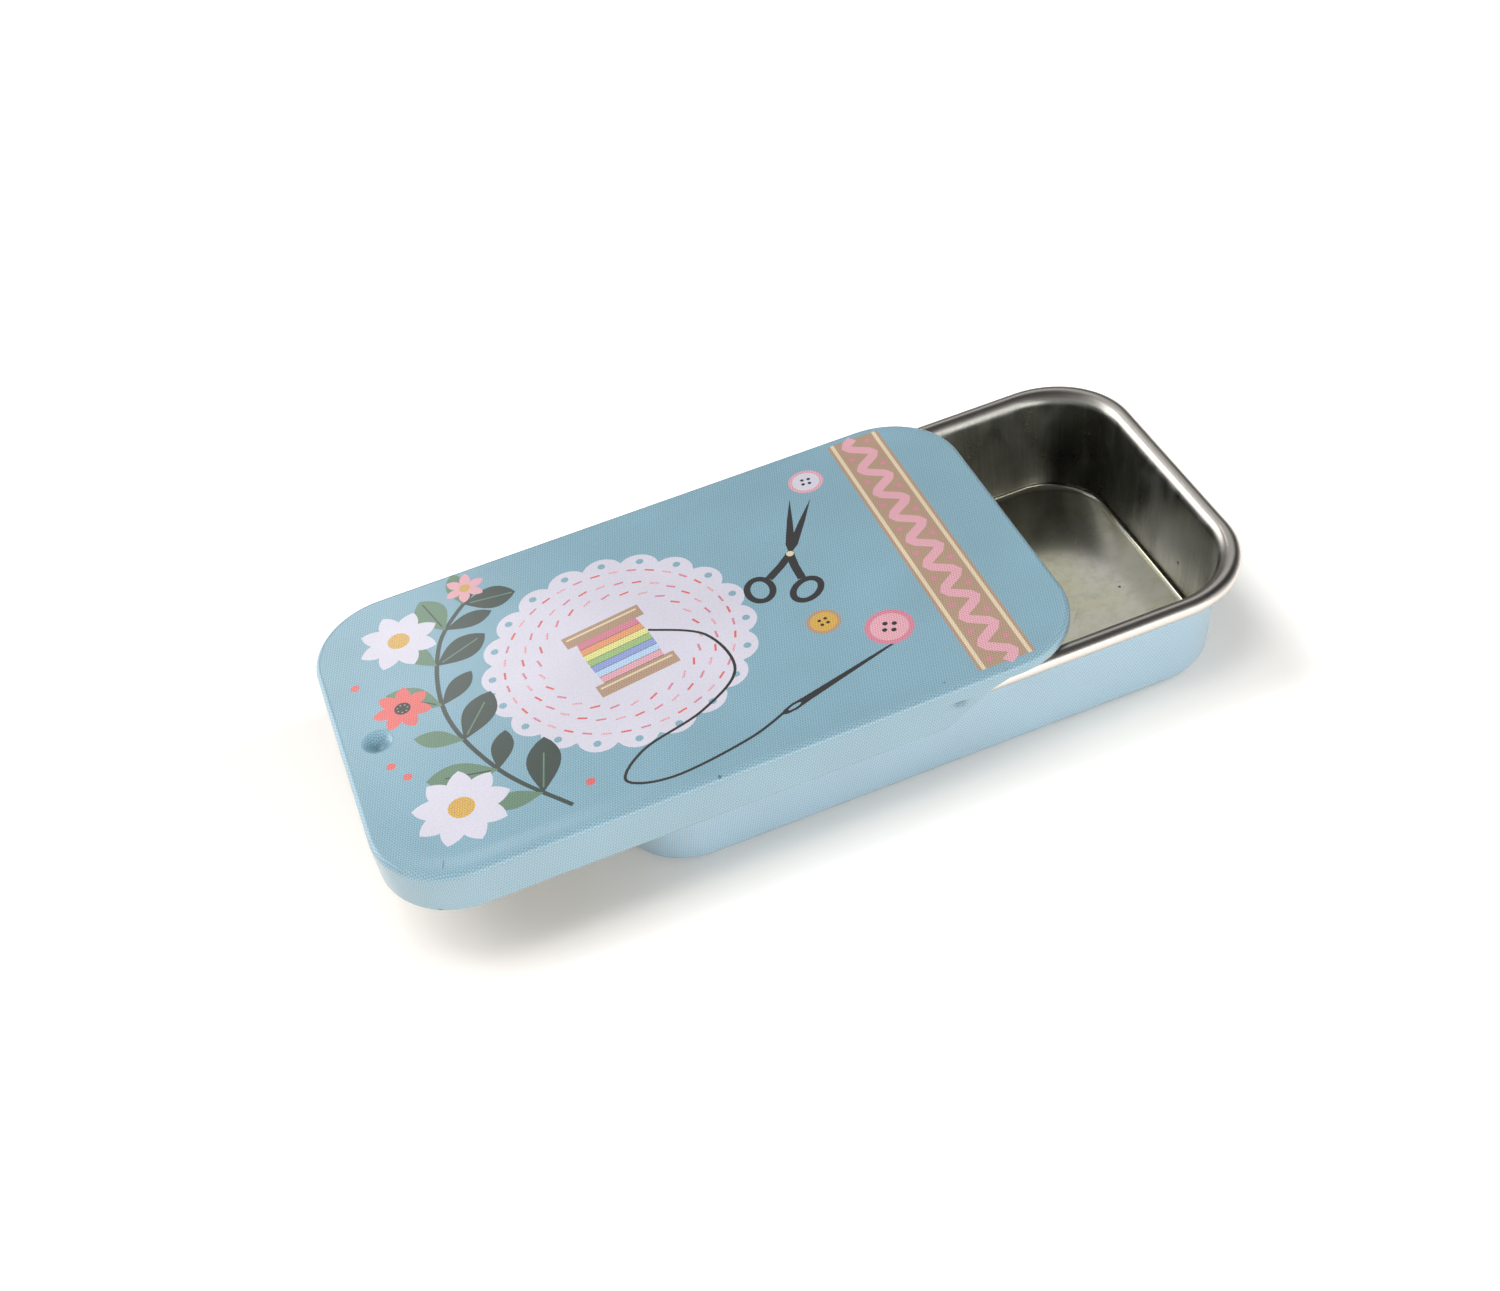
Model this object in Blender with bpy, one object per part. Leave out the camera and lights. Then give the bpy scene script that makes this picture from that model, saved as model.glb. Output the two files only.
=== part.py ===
# A slide-top needle tin. A drawn tinplate tray has a curled rim, and the lid's rails run under
# that rim, so the lid slides off towards one end and leaves the tray open at the other.
# Metres, +Z up. The tray stands on its flat base with its length along X and its centre at X = 0.
# The lid is shown part open, slid towards -X.

import math

import bmesh
import bpy

MM = 0.001

# Tinplate of both pieces
SHEET = 0.25 * MM

# Tray, measured over its rim
TRAY_LENGTH = 60.0 * MM
TRAY_WIDTH = 34.0 * MM
TRAY_HEIGHT = 10.4 * MM
TRAY_CORNER_RADIUS = 7.9 * MM
END_WALL_DRAFT = math.radians(8.4)
SIDE_WALL_DRAFT = math.radians(5.4)
FOOT_RADIUS = 0.9 * MM

# The tray's curled rim: a tube rolled outwards, with its cut edge tucked in beside the wall
BEAD_DIAMETER = 1.55 * MM
BEAD_END_ANGLE = math.radians(-125)

# Fit of the lid on the rim
RIM_SIDE_GAP = 0.35 * MM
RIM_END_GAP = 0.3 * MM
RAIL_GAP = 0.35 * MM
LID_HEADROOM = 1.0 * MM

# Lid: folded edge, rails curled in under the rim, and a shallow lip where the tray passes out
LID_CORNER_EASE = 1.3 * MM
LID_SETBACK = 0.15 * MM
LID_FOLD_RADIUS = 0.5 * MM
RAIL_CURL_DIAMETER = 1.1 * MM
RAIL_CURL_TURN = math.radians(270)
LIP_GAP = 0.3 * MM
LIP_RUN = 1.7 * MM
RAIL_CUT_ANGLE = math.radians(31)

# Round dimple that clicks in behind the tray's end rim when the lid is shut
DIMPLE_RADIUS = 1.4 * MM
DIMPLE_BEHIND_RIM = 1.1 * MM
DIMPLE_GAP = 0.15 * MM

# Dent in each rail that steadies the rim, near the lid's open end
DENT_LENGTH = 1.4 * MM
DENT_HEIGHT = 0.8 * MM
DENT_DROP = 1.8 * MM
DENT_BACK = 3.6 * MM
DENT_GAP = 0.1 * MM

# How far the lid stands open
LID_OPEN_BY = 16.4 * MM

# Shares and counts
CORNER_FOLLOW_SHARE = 0.6
LIP_FOLD_SHARE = 0.85
TRAY_CORNER_STEPS = 12
LID_CORNER_STEPS = 10
FOOT_STEPS = 5
BEAD_STEPS = 14
FOLD_STEPS = 4
RAIL_CURL_STEPS = 10
CUT_STEPS = 8
DENT_STEPS = 6
DENT_LEVELS = 4
DIMPLE_STEPS = 5
DIMPLE_SIDES = 24

# Sizes that follow from the ones above
bead_radius = BEAD_DIAMETER / 2
curl_radius = RAIL_CURL_DIAMETER / 2
lid_length = TRAY_LENGTH + RIM_END_GAP + SHEET - LID_SETBACK
lid_width = TRAY_WIDTH + 2 * (RIM_SIDE_GAP + SHEET)
lid_corner_radius = TRAY_CORNER_RADIUS + RIM_SIDE_GAP + SHEET - LID_CORNER_EASE
lid_top = TRAY_HEIGHT + LID_HEADROOM + SHEET
skirt_depth = SHEET + LID_HEADROOM + BEAD_DIAMETER + RAIL_GAP + RAIL_CURL_DIAMETER
lip_depth = SHEET + LID_HEADROOM - LIP_GAP
lid_shut_x = lid_length / 2 - (TRAY_LENGTH / 2 + RIM_END_GAP + SHEET)
lip_end_x = lid_length / 2 - lid_corner_radius - LIP_RUN
dent_x = lip_end_x - DENT_BACK
dent_depth = RIM_SIDE_GAP - DENT_GAP
dimple_x = SHEET + RIM_END_GAP + BEAD_DIAMETER + DIMPLE_BEHIND_RIM - lid_length / 2
dimple_depth = LID_HEADROOM - DIMPLE_GAP


def clear_scene():
    for item in list(bpy.data.objects):
        bpy.data.objects.remove(item, do_unlink=True)


def make_material(name, colour, roughness, metallic):
    material = bpy.data.materials.new(name)
    material.use_nodes = True
    shader = material.node_tree.nodes["Principled BSDF"]
    shader.inputs["Base Color"].default_value = (*colour, 1)
    shader.inputs["Roughness"].default_value = roughness
    shader.inputs["Metallic"].default_value = metallic
    return material


def finish_object(name, bm, materials, smooth_angle=math.radians(35)):
    bmesh.ops.recalc_face_normals(bm, faces=bm.faces)
    mesh = bpy.data.meshes.new(name)
    bm.to_mesh(mesh)
    bm.free()
    mesh.shade_smooth()
    mesh.set_sharp_from_angle(angle=smooth_angle)
    for material in materials:
        mesh.materials.append(material)
    item = bpy.data.objects.new(name, mesh)
    bpy.context.scene.collection.objects.link(item)
    return item


def arc(centre, radius, start, end, steps):
    # Points of a section's arc, each with its direction of travel.
    turn = 1 if end > start else -1
    points = []
    for step in range(steps + 1):
        angle = start + (end - start) * step / steps
        x = centre[0] + radius * math.cos(angle)
        z = centre[1] + radius * math.sin(angle)
        points.append(((x, z), (-turn * math.sin(angle), turn * math.cos(angle))))
    return points


def both_faces(path):
    # The sheet's two faces, half its thickness to the left and to the right of its middle line.
    left = []
    right = []
    for (x, z), (along_x, along_z) in path:
        left.append((x - along_z * SHEET / 2, z + along_x * SHEET / 2))
        right.append((x + along_z * SHEET / 2, z - along_x * SHEET / 2))
    return left, right


def join_rings(bm, rings, material_index=0):
    rows = [[bm.verts.new(point) for point in ring] for ring in rings]
    for row, after in zip(rows, rows[1:]):
        join_rows(bm, row, after, material_index)
    return rows


def join_rows(bm, row, after, material_index=0):
    for i, vert in enumerate(row):
        j = (i + 1) % len(row)
        face = bm.faces.new((vert, row[j], after[j], after[i]))
        face.material_index = material_index


def corner_stations(half_length, half_width, radius, steps):
    # Counter-clockwise stations of a rounded rectangle: a point and its outward direction.
    stations = []
    for quarter in range(4):
        side_x = 1 if quarter in (0, 3) else -1
        side_y = 1 if quarter in (0, 1) else -1
        for step in range(steps + 1):
            angle = math.radians(90) * (quarter + step / steps)
            out_x = math.cos(angle)
            out_y = math.sin(angle)
            x = side_x * (half_length - radius) + radius * out_x
            y = side_y * (half_width - radius) + radius * out_y
            stations.append(((x, y), (out_x, out_y)))
    return stations


def tray_path(draft):
    # Middle line of the tray's sheet, outwards from the rim's outer edge and up from the base:
    # round the foot, up the wall that leans by this draft, then over and down round the curled rim.
    middle = bead_radius - SHEET / 2
    centre = (-bead_radius, TRAY_HEIGHT - bead_radius)
    bead = arc(centre, middle, math.radians(180) - draft, BEAD_END_ANGLE, BEAD_STEPS)
    (wall_x, wall_z), (lean_x, lean_z) = bead[0]
    turn = FOOT_RADIUS - SHEET / 2
    drop = (FOOT_RADIUS - turn * lean_x - wall_z) / lean_z
    foot = (wall_x + drop * lean_x - turn * lean_z, FOOT_RADIUS)
    foot_arc = arc(foot, turn, math.radians(-90), -draft, FOOT_STEPS)
    return foot_arc + bead


def tray_ring(end, side):
    # Ring through a point of the end walls' section and one of the side walls' section. The
    # corners tighten a little less than the walls step in, as a drawn tray's do.
    (end_out, end_z), (side_out, side_z) = end, side
    radius = TRAY_CORNER_RADIUS + CORNER_FOLLOW_SHARE * (end_out + side_out) / 2
    half_length = TRAY_LENGTH / 2 + end_out
    half_width = TRAY_WIDTH / 2 + side_out
    stations = corner_stations(half_length, half_width, radius, TRAY_CORNER_STEPS)
    return [
        (x, y, end_z * out_x ** 2 + side_z * out_y ** 2)
        for (x, y), (out_x, out_y) in stations
    ]


def tray_rings():
    # The sheet's inner and outer faces, each as rings from the floor out to the bead's tucked end.
    end_inside, end_outside = both_faces(tray_path(END_WALL_DRAFT))
    side_inside, side_outside = both_faces(tray_path(SIDE_WALL_DRAFT))
    inside = [tray_ring(end, side) for end, side in zip(end_inside, side_inside)]
    outside = [tray_ring(end, side) for end, side in zip(end_outside, side_outside)]
    return inside, outside


def make_tray(bare, printed):
    inside, outside = tray_rings()
    bm = bmesh.new()
    inner = join_rings(bm, inside)
    outer = join_rings(bm, outside[::-1], 1)
    join_rows(bm, inner[-1], outer[0])
    bm.faces.new(inner[0])
    bm.faces.new(outer[-1]).material_index = 1
    return finish_object("tray", bm, (bare, printed))


class LidSection:
    # Middle line of the lid's sheet, outwards from the skirt's outer face and up from the top:
    # over the folded edge, down the skirt, and in and up round the rail's curl.

    def __init__(self):
        self.fold_middle = LID_FOLD_RADIUS - SHEET / 2
        self.curl_middle = curl_radius - SHEET / 2
        self.fold_run = math.radians(90) * self.fold_middle
        self.straight = skirt_depth - curl_radius - LID_FOLD_RADIUS
        self.full_run = self.fold_run + self.straight + RAIL_CURL_TURN * self.curl_middle

    def at(self, run):
        # Point and direction of travel at this length along the line.
        if run < self.fold_run:
            centre = (-LID_FOLD_RADIUS, -LID_FOLD_RADIUS)
            angle = math.radians(90) - run / self.fold_middle
            radius = self.fold_middle
        elif run < self.fold_run + self.straight:
            return (-SHEET / 2, -LID_FOLD_RADIUS - (run - self.fold_run)), (0, -1)
        else:
            centre = (-curl_radius, -LID_FOLD_RADIUS - self.straight)
            angle = -(run - self.fold_run - self.straight) / self.curl_middle
            radius = self.curl_middle
        x = centre[0] + radius * math.cos(angle)
        z = centre[1] + radius * math.sin(angle)
        return (x, z), (math.sin(angle), -math.cos(angle))

    def run_to(self, depth):
        # Length along the line to this depth below the lid's top, above the rail's curl.
        if depth < LID_FOLD_RADIUS:
            return self.fold_middle * math.acos((LID_FOLD_RADIUS - depth) / LID_FOLD_RADIUS)
        return self.fold_run + depth - LID_FOLD_RADIUS

    def runs(self, end):
        # Lengths along the line where it is drawn when the sheet is cut off at this end.
        dent_runs = [
            self.run_to(DENT_DROP + DENT_HEIGHT * (level / DENT_LEVELS - 1 / 2))
            for level in range(DENT_LEVELS + 1)
        ]
        curl_start = self.fold_run + self.straight
        curl_runs = [
            curl_start + (self.full_run - curl_start) * step / RAIL_CURL_STEPS
            for step in range(RAIL_CURL_STEPS + 1)
        ]
        tail = [run for run in dent_runs + curl_runs if run > self.fold_run]
        fixed = dent_runs[-1]
        if end < fixed + SHEET:
            fixed = min(self.fold_run, LIP_FOLD_SHARE * end)
        squeeze = (end - fixed) / (self.full_run - fixed)
        fold_end = min(self.fold_run, fixed)
        drawn = [fold_end * step / FOLD_STEPS for step in range(FOLD_STEPS + 1)]
        for run in tail:
            drawn.append(run if run <= fixed else fixed + (run - fixed) * squeeze)
        return drawn


def bell(share):
    # Height of a soft dent, from 1 in its middle to 0 at its edge.
    return (1 + math.cos(math.pi * share)) / 2 if share < 1 else 0


def lid_stations(section):
    # The corners' stations, with more along each long side where the skirt is cut and dented.
    half_width = lid_width / 2
    corners = corner_stations(lid_length / 2, half_width, lid_corner_radius, LID_CORNER_STEPS)
    cut_length = (section.full_run - section.run_to(lip_depth)) / math.tan(RAIL_CUT_ANGLE)
    dent_step = DENT_LENGTH / DENT_STEPS
    dent_xs = [dent_x + dent_step * (step - DENT_STEPS / 2) for step in range(DENT_STEPS + 1)]
    cut_xs = [lip_end_x - cut_length * step / CUT_STEPS for step in range(CUT_STEPS + 1)]
    cut_xs = [x for x in cut_xs if all(abs(x - other) > dent_step for other in dent_xs)]
    xs = sorted(cut_xs + dent_xs)
    back = [((x, half_width), (0, 1)) for x in reversed(xs)]
    front = [((x, -half_width), (0, -1)) for x in xs]
    quarter = LID_CORNER_STEPS + 1
    return corners[:quarter] + back + corners[quarter:3 * quarter] + front + corners[3 * quarter:]


def skirt_end(section, x):
    # Where the sheet ends along its middle line: the shallow lip, the slanting cut or the full rail.
    lip = section.run_to(lip_depth)
    slant = lip + (lip_end_x - x) * math.tan(RAIL_CUT_ANGLE)
    return min(section.full_run, max(lip, slant))


def dent_at(x, z):
    along = (x - dent_x) / (DENT_LENGTH / 2)
    down = (z + DENT_DROP) / (DENT_HEIGHT / 2)
    return dent_depth * bell(math.hypot(along, down))


def lid_rings():
    # The sheet's outer and inner faces, each as rings from the fold down to the sheet's end.
    section = LidSection()
    outer_columns = []
    inner_columns = []
    for (x, y), (out_x, out_y) in lid_stations(section):
        path = [section.at(run) for run in section.runs(skirt_end(section, x))]
        for faces, columns in zip(both_faces(path), (outer_columns, inner_columns)):
            column = []
            for out, z in faces:
                if abs(out_y) == 1:
                    out -= dent_at(x, z)
                column.append((x + out * out_x, y + out * out_y, z))
            columns.append(column)
    return list(zip(*outer_columns)), list(zip(*inner_columns))


def dimple_rings(z):
    # The dimple's face, from its edge in the top plate to the ring about its middle.
    rings = []
    for step in range(DIMPLE_STEPS, 0, -1):
        share = step / DIMPLE_STEPS
        ring = []
        for side in range(DIMPLE_SIDES):
            angle = math.radians(360) * side / DIMPLE_SIDES
            x = dimple_x + DIMPLE_RADIUS * share * math.cos(angle)
            y = DIMPLE_RADIUS * share * math.sin(angle)
            ring.append((x, y, z - dimple_depth * bell(share)))
        rings.append(ring)
    return rings


def fill_plate(bm, border, z, material_index):
    # Flat plate inside a border row, with the dimple pressed down into it.
    rows = join_rings(bm, dimple_rings(z), material_index)
    middle = bm.verts.new((dimple_x, 0, z - dimple_depth))
    for i, vert in enumerate(rows[-1]):
        face = bm.faces.new((vert, rows[-1][(i + 1) % DIMPLE_SIDES], middle))
        face.material_index = material_index
    edges = []
    for row in (border, rows[0]):
        for i, vert in enumerate(row):
            edges.append(bm.edges.get((vert, row[(i + 1) % len(row)])))
    filled = bmesh.ops.triangle_fill(bm, use_beauty=True, edges=edges)
    for item in filled["geom"]:
        if isinstance(item, bmesh.types.BMFace):
            item.material_index = material_index


def make_lid(printed, bare):
    outside, inside = lid_rings()
    bm = bmesh.new()
    outer = join_rings(bm, outside)
    inner = join_rings(bm, inside, 1)
    join_rows(bm, outer[-1], inner[-1], 1)
    fill_plate(bm, outer[0], 0, 0)
    fill_plate(bm, inner[0], -SHEET, 1)
    lid = finish_object("slide_lid", bm, (printed, bare))
    lid.location = (lid_shut_x - LID_OPEN_BY, 0, lid_top)
    return lid


clear_scene()
bare_tinplate = make_material("bare_tinplate", (0.56, 0.55, 0.51), 0.28, 1)
tray_print = make_material("tray_blue_print", (0.43, 0.61, 0.72), 0.35, 0)
lid_print = make_material("lid_blue_print", (0.29, 0.46, 0.56), 0.32, 0)
make_tray(bare_tinplate, tray_print)
make_lid(lid_print, bare_tinplate)
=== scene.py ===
# Looks of the slide-top needle tin: both tinplate pieces rebuilt with a finer skin, a printed
# design cut into the lid's blank before it is folded, and a white studio floor.
import math
from functools import partial

import bpy
from mathutils import Matrix, Vector, noise
from mathutils.geometry import delaunay_2d_cdt


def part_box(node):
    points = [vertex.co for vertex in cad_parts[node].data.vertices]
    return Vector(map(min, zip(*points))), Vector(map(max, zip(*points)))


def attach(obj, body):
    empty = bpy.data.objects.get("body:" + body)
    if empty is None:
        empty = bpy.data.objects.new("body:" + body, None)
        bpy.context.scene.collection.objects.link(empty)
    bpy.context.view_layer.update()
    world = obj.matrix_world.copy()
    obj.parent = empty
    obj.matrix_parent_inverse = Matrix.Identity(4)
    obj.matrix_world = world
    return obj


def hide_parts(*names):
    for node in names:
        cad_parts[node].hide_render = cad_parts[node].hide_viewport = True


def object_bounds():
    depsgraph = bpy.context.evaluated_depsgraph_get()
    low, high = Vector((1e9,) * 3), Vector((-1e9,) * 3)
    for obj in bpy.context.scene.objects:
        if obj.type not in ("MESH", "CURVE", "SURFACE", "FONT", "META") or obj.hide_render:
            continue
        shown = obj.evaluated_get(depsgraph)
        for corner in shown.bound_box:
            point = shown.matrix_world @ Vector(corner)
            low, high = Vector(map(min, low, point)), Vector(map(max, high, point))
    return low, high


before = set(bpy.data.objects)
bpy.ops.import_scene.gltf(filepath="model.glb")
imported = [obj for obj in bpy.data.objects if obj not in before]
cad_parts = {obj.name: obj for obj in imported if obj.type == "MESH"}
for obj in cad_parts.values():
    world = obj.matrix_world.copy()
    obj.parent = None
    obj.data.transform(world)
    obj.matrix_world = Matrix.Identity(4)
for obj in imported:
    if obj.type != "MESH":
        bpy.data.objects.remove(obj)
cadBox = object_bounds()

mm = 0.001  # shapes below are worked out in millimetres
quarterTurn, fullTurn = math.radians(90), math.radians(360)
cornerSides = ((1, 1), (-1, 1), (-1, -1), (1, -1))  # counter-clockwise


def linearColour(hexColour, alpha=1.0):
    channels = []
    for start in (1, 3, 5):
        value = int(hexColour[start:start + 2], 16) / 255
        channels.append(value / 12.92 if value <= 0.04045 else ((value + 0.055) / 1.055) ** 2.4)
    return (*channels, alpha)


def addNode(tree, kind, inputs=(), **settings):
    # Inputs come in order, or by name or number. A node stands for its first output in use, and
    # a hex colour is turned to linear.
    node = tree.nodes.new("ShaderNode" + kind)
    for name, value in settings.items():
        setattr(node, name, value)
    for socket, value in inputs.items() if isinstance(inputs, dict) else enumerate(inputs):
        if isinstance(value, bpy.types.Node):
            value = next(output for output in value.outputs if output.enabled)
        if isinstance(value, bpy.types.NodeSocket):
            tree.links.new(value, node.inputs[socket])
        else:
            isColour = isinstance(value, str)
            node.inputs[socket].default_value = linearColour(value) if isColour else value
    return node


def newMaterial(name):
    material = bpy.data.materials.new(name)
    material.use_nodes = True
    material.node_tree.nodes.clear()
    return material, partial(addNode, material.node_tree)


def addObject(name, data):
    item = bpy.data.objects.new(name, data)
    bpy.context.scene.collection.objects.link(item)
    return item


def addMesh(name, points, faces, *materials):
    mesh = bpy.data.meshes.new(name)
    mesh.from_pydata(points, [], faces)
    for material in materials:
        mesh.materials.append(material)
    return addObject(name, mesh)


def smoothStep(value, low, high):
    share = min(max((value - low) / (high - low), 0), 1)
    return share * share * (3 - 2 * share)


def softDent(share):
    # 1 in the middle of a pressed dent, 0 at its edge
    return (1 + math.cos(math.pi * share)) / 2 if share < 1 else 0


lid = {
    "length": 60.4, "width": 35.2, "cornerRadius": 7.2, "sheet": 0.25,
    "foldRadius": 0.5, "skirtDepth": 4.25, "curlDiameter": 1.1, "curlTurn": 270,
    "lipDepth": 0.95, "lipEndX": 21.3, "cutAngle": 31,
    "dimpleX": -27.0, "dimpleRadius": 1.4, "dimpleDepth": 0.85,
    "dentX": 17.7, "dentDrop": 1.8, "dentLength": 1.4, "dentHeight": 0.8, "dentDepth": 0.25,
    "panelSink": 0.02, "panelSlope": 1.9,  # the top panel lies a little under the folded edge
    "waveHeight": 0.03, "waveLength": 14.0,  # thin sheet is never quite flat
    "foldSteps": 8, "curlSteps": 14, "cornerSteps": 20, "endSteps": 5, "dentSteps": 8,
    "sideStep": 1.5, "cutReach": (8, 22), "cutFiner": 6,  # closer stations by the slanting cut
    "panelRings": (1, 0.75, 0.5, 0.25), "skirtRings": (0.7, 0.85),
    "dimpleRings": 12, "dimplePoints": 30, "dimpleReach": 1.06, "panelGrid": (20, 12, 4),
    "shortestEdge": 0.02, "mergeWithin": 1e-5,
}

lidCoreX = lid["length"] / 2 - lid["cornerRadius"]
lidCoreY = lid["width"] / 2 - lid["cornerRadius"]
plateRadius = lid["cornerRadius"] - lid["foldRadius"]
foldMiddle = lid["foldRadius"] - lid["sheet"] / 2
curlRadius = lid["curlDiameter"] / 2
curlMiddle = curlRadius - lid["sheet"] / 2
foldRun = quarterTurn * foldMiddle
straightRun = lid["skirtDepth"] - curlRadius - lid["foldRadius"]
fullRun = foldRun + straightRun + math.radians(lid["curlTurn"]) * curlMiddle
lipRun = foldRun + lid["lipDepth"] - lid["foldRadius"]
dentRun = foldRun + lid["dentDrop"] - lid["foldRadius"]


def lidSection(run, lift):
    # Out from the skirt and up from the top, for a length past the fold's start
    if run < foldRun:
        angle = quarterTurn - run / foldMiddle
        radius = foldMiddle + lift
        centre = (-lid["foldRadius"], -lid["foldRadius"])
    elif run < foldRun + straightRun:
        return lift - lid["sheet"] / 2, -lid["foldRadius"] - (run - foldRun)
    else:
        angle = -(run - foldRun - straightRun) / curlMiddle
        radius = curlMiddle + lift
        centre = (-curlRadius, -lid["foldRadius"] - straightRun)
    return centre[0] + radius * math.cos(angle), centre[1] + radius * math.sin(angle)


def lidEnd(x):
    # Where the sheet ends past the fold: shallow lip, slanting cut or full rail
    slant = lipRun + (lid["lipEndX"] - x) * math.tan(math.radians(lid["cutAngle"]))
    return min(fullRun, max(lipRun, slant))


def blankFrame(u, v):
    # Nearest point of the lid's core, the outward direction and the length past the fold's start
    coreX = min(max(u, -lidCoreX), lidCoreX)
    coreY = min(max(v, -lidCoreY), lidCoreY)
    away = Vector((u - coreX, v - coreY))
    return coreX, coreY, away, away.length - plateRadius


def onLid(u, v, lift):
    coreX, coreY, away, run = blankFrame(u, v)
    if run <= 0:
        x, y, z = u, v, lift - lid["sheet"] / 2
    else:
        out, z = lidSection(run, lift)
        reach = (plateRadius + lid["foldRadius"] + out) / away.length
        x, y = coreX + away.x * reach, coreY + away.y * reach
    sink = 1 - smoothStep(run, -lid["panelSlope"], 0)
    wave = noise.noise(Vector((u, v, 3)) / lid["waveLength"])
    z -= sink * (lid["panelSink"] + lid["waveHeight"] * (1 + wave))
    dimple = math.hypot(u - lid["dimpleX"], v) / lid["dimpleRadius"]
    z -= lid["dimpleDepth"] * softDent(dimple)
    if run > foldRun:
        along = (x - lid["dentX"]) / (lid["dentLength"] / 2)
        down = (z + lid["dentDrop"]) / (lid["dentHeight"] / 2)
        y -= math.copysign(lid["dentDepth"] * softDent(math.hypot(along, down)), y)
    return Vector((x, y, z))


def lidStations():
    # Core point and outward direction at each station round the blank, counter-clockwise
    low, high = lid["cutReach"]
    longXs = [lidCoreX]
    while longXs[-1] > -lidCoreX:
        finer = lid["cutFiner"] if low < longXs[-1] < high else 1
        longXs.append(max(longXs[-1] - lid["sideStep"] / finer, -lidCoreX))
    steps = lid["endSteps"]
    endYs = [lidCoreY * (1 - step / steps) for step in range(2 * steps + 1)]
    stations = []
    for quarter, (sideX, sideY) in enumerate(cornerSides):
        for step in range(lid["cornerSteps"] + 1):
            angle = quarterTurn * (quarter + step / lid["cornerSteps"])
            away = Vector((math.cos(angle), math.sin(angle)))
            stations.append((sideX * lidCoreX, sideY * lidCoreY, away))
        way = 1 if quarter < 2 else -1
        if quarter % 2 == 0:
            stations += [(way * x, way * lidCoreY, Vector((0, way))) for x in longXs[1:-1]]
        else:
            stations += [(-way * lidCoreX, way * y, Vector((-way, 0))) for y in endYs[1:-1]]
    return stations


inkColours = {
    # the tray's ground is the lid's blue painted lighter: painted light on the tray's walls
    "ground": "#80A6B6", "trayGround": "#98BACC", "white": "#D3D0DD", "black": "#1B1A1C",
    "deepGreen": "#2F3F38", "sage": "#5F8067", "tan": "#AE9078", "cream": "#DCCBAB",
    "pink": "#DDA3AE", "rose": "#CF7F93", "coral": "#D9645F", "mustard": "#CFA447",
    "orange": "#DE9A6D", "lime": "#DCD98C", "leaf": "#9AB87B", "lilac": "#8D9CD0", "sky": "#B3CDE8",
}
screenShares = {"white": 0.1, "black": 0.0, "cream": 0.7}  # how much of the dot screen shows
designShapes = []  # (outline, ink), the lowest first


def turned(x, y, angle, centre):
    c, s = math.cos(math.radians(angle)), math.sin(math.radians(angle))
    return centre[0] + x * c - y * s, centre[1] + x * s + y * c


def printShape(ink, outline, turn=0, centre=(0, 0)):
    designShapes.append(([Vector(turned(x, y, turn, centre)) for x, y in outline], ink))


def printOval(ink, centre, width, height=None, turn=0, points=28):
    radiusX, radiusY = width / 2, (height or width) / 2
    angles = [fullTurn * step / points for step in range(points)]
    printShape(ink, [(radiusX * math.cos(t), radiusY * math.sin(t)) for t in angles], turn, centre)


def printLeaf(ink, foot, length, width, turn, points=11):
    # Pointed at the foot, fuller past the middle
    upper = []
    for step in range(1, points):
        share = step / points
        upper.append((length * share, width / 2 * math.sin(math.pi * share ** 1.25) ** 0.8))
    lower = [(x, -y) for x, y in reversed(upper)]
    printShape(ink, [(0, 0), *upper, (length, 0), *lower], turn, foot)


def printLine(ink, points, width):
    # A line of even width along these points
    path = [Vector(point) for point in points]
    left, right = [], []
    for i, point in enumerate(path):
        before, after = path[max(i - 1, 0)], path[min(i + 1, len(path) - 1)]
        along = (after - before).normalized()
        side = Vector((-along.y, along.x)) * width / 2
        left.append(point + side)
        right.append(point - side)
    printShape(ink, right + left[::-1])


def printBar(ink, centre, length, width, turn):
    x, y = length / 2, width / 2
    printShape(ink, [(-x, -y), (x, -y), (x, y), (-x, y)], turn, centre)


def curvePoints(controls, steps=9):
    # Smooth line through the given points
    points = []
    path = [controls[0], *controls, controls[-1]]
    for four in zip(path, path[1:], path[2:], path[3:]):
        for step in range(steps):
            t = step / steps
            points.append(tuple(
                0.5 * (2 * q + (r - p) * t + (2 * p - 5 * q + 4 * r - s) * t ** 2
                       + (3 * q - p - 3 * r + s) * t ** 3)
                for p, q, r, s in zip(*four)))
    return [*points, controls[-1]]


lace = {
    "centre": (-5.5, 0.6), "radius": 11.0, "scallops": 20, "scallopDepth": 0.95,
    "hole": 0.7, "rings": (9.9, 8.3, 6.9), "stitches": 38, "stitch": (0.85, 0.2), "lean": 12,
    "threads": ("coral", "rose", "pink"),
}


def printLace():
    centre, radius, count = lace["centre"], lace["radius"], lace["scallops"]
    steps = count * 8
    outline = []
    for step in range(steps):
        rise = abs(math.sin(fullTurn * step / steps * count / 2)) ** 0.7
        outline.append(turned(radius + lace["scallopDepth"] * rise, 0, 360 * step / steps, centre))
    printShape("white", outline)
    for step in range(count):
        spot = turned(radius, 0, 360 * (step + 0.5) / count, centre)
        printOval("ground", spot, lace["hole"], points=10)
    for ring, reach in enumerate(lace["rings"]):
        stitches = round(lace["stitches"] * reach / lace["rings"][0])
        for step in range(stitches):
            angle = 360 * (step + ring / 2) / stitches
            ink, turn = lace["threads"][(step + ring) % 3], angle + 90 + lace["lean"] * ring
            printBar(ink, turned(reach, 0, angle, centre), *lace["stitch"], turn)


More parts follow.
